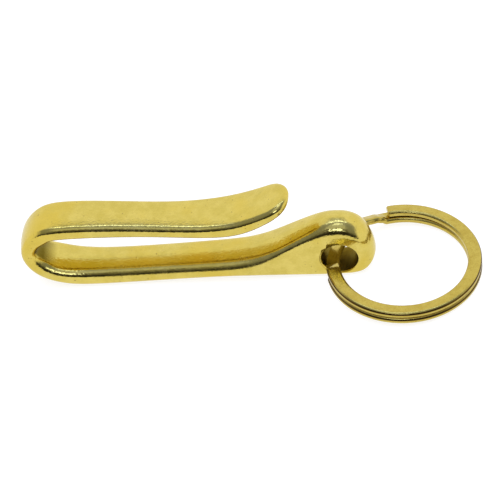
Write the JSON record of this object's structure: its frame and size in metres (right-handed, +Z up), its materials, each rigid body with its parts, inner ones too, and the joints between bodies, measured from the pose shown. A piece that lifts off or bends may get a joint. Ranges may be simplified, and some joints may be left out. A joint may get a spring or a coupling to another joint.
{
  "type": "belt key clip",
  "caption": "Cast brass hook that slides over a belt, with an eye that holds a wound split key ring.",
  "frame": {"origin": "on the ground base of the hook, straight below the middle of the eye's hole", "axes": "+X from the bend towards the ring, +Y across the strap along the eye's hole, +Z up from the base"},
  "size_m": [0.0945, 0.0321, 0.0206],
  "materials": {
    "hook_brass": "polished cast brass",
    "ring_brass": "brass-plated spring wire, brushed flat faces"
  },
  "bodies": {
    "hook": {"belt_hook": "hook_brass"},
    "ring": {"split_ring": "ring_brass"}
  },
  "joints": [
    {"name": "ring_swing", "type": "hinge", "parent": "hook", "child": "ring", "pos_m": [0, 0, 0.00483], "axis": [0, -1, 0], "range_deg": [-159, 152]}
  ]
}
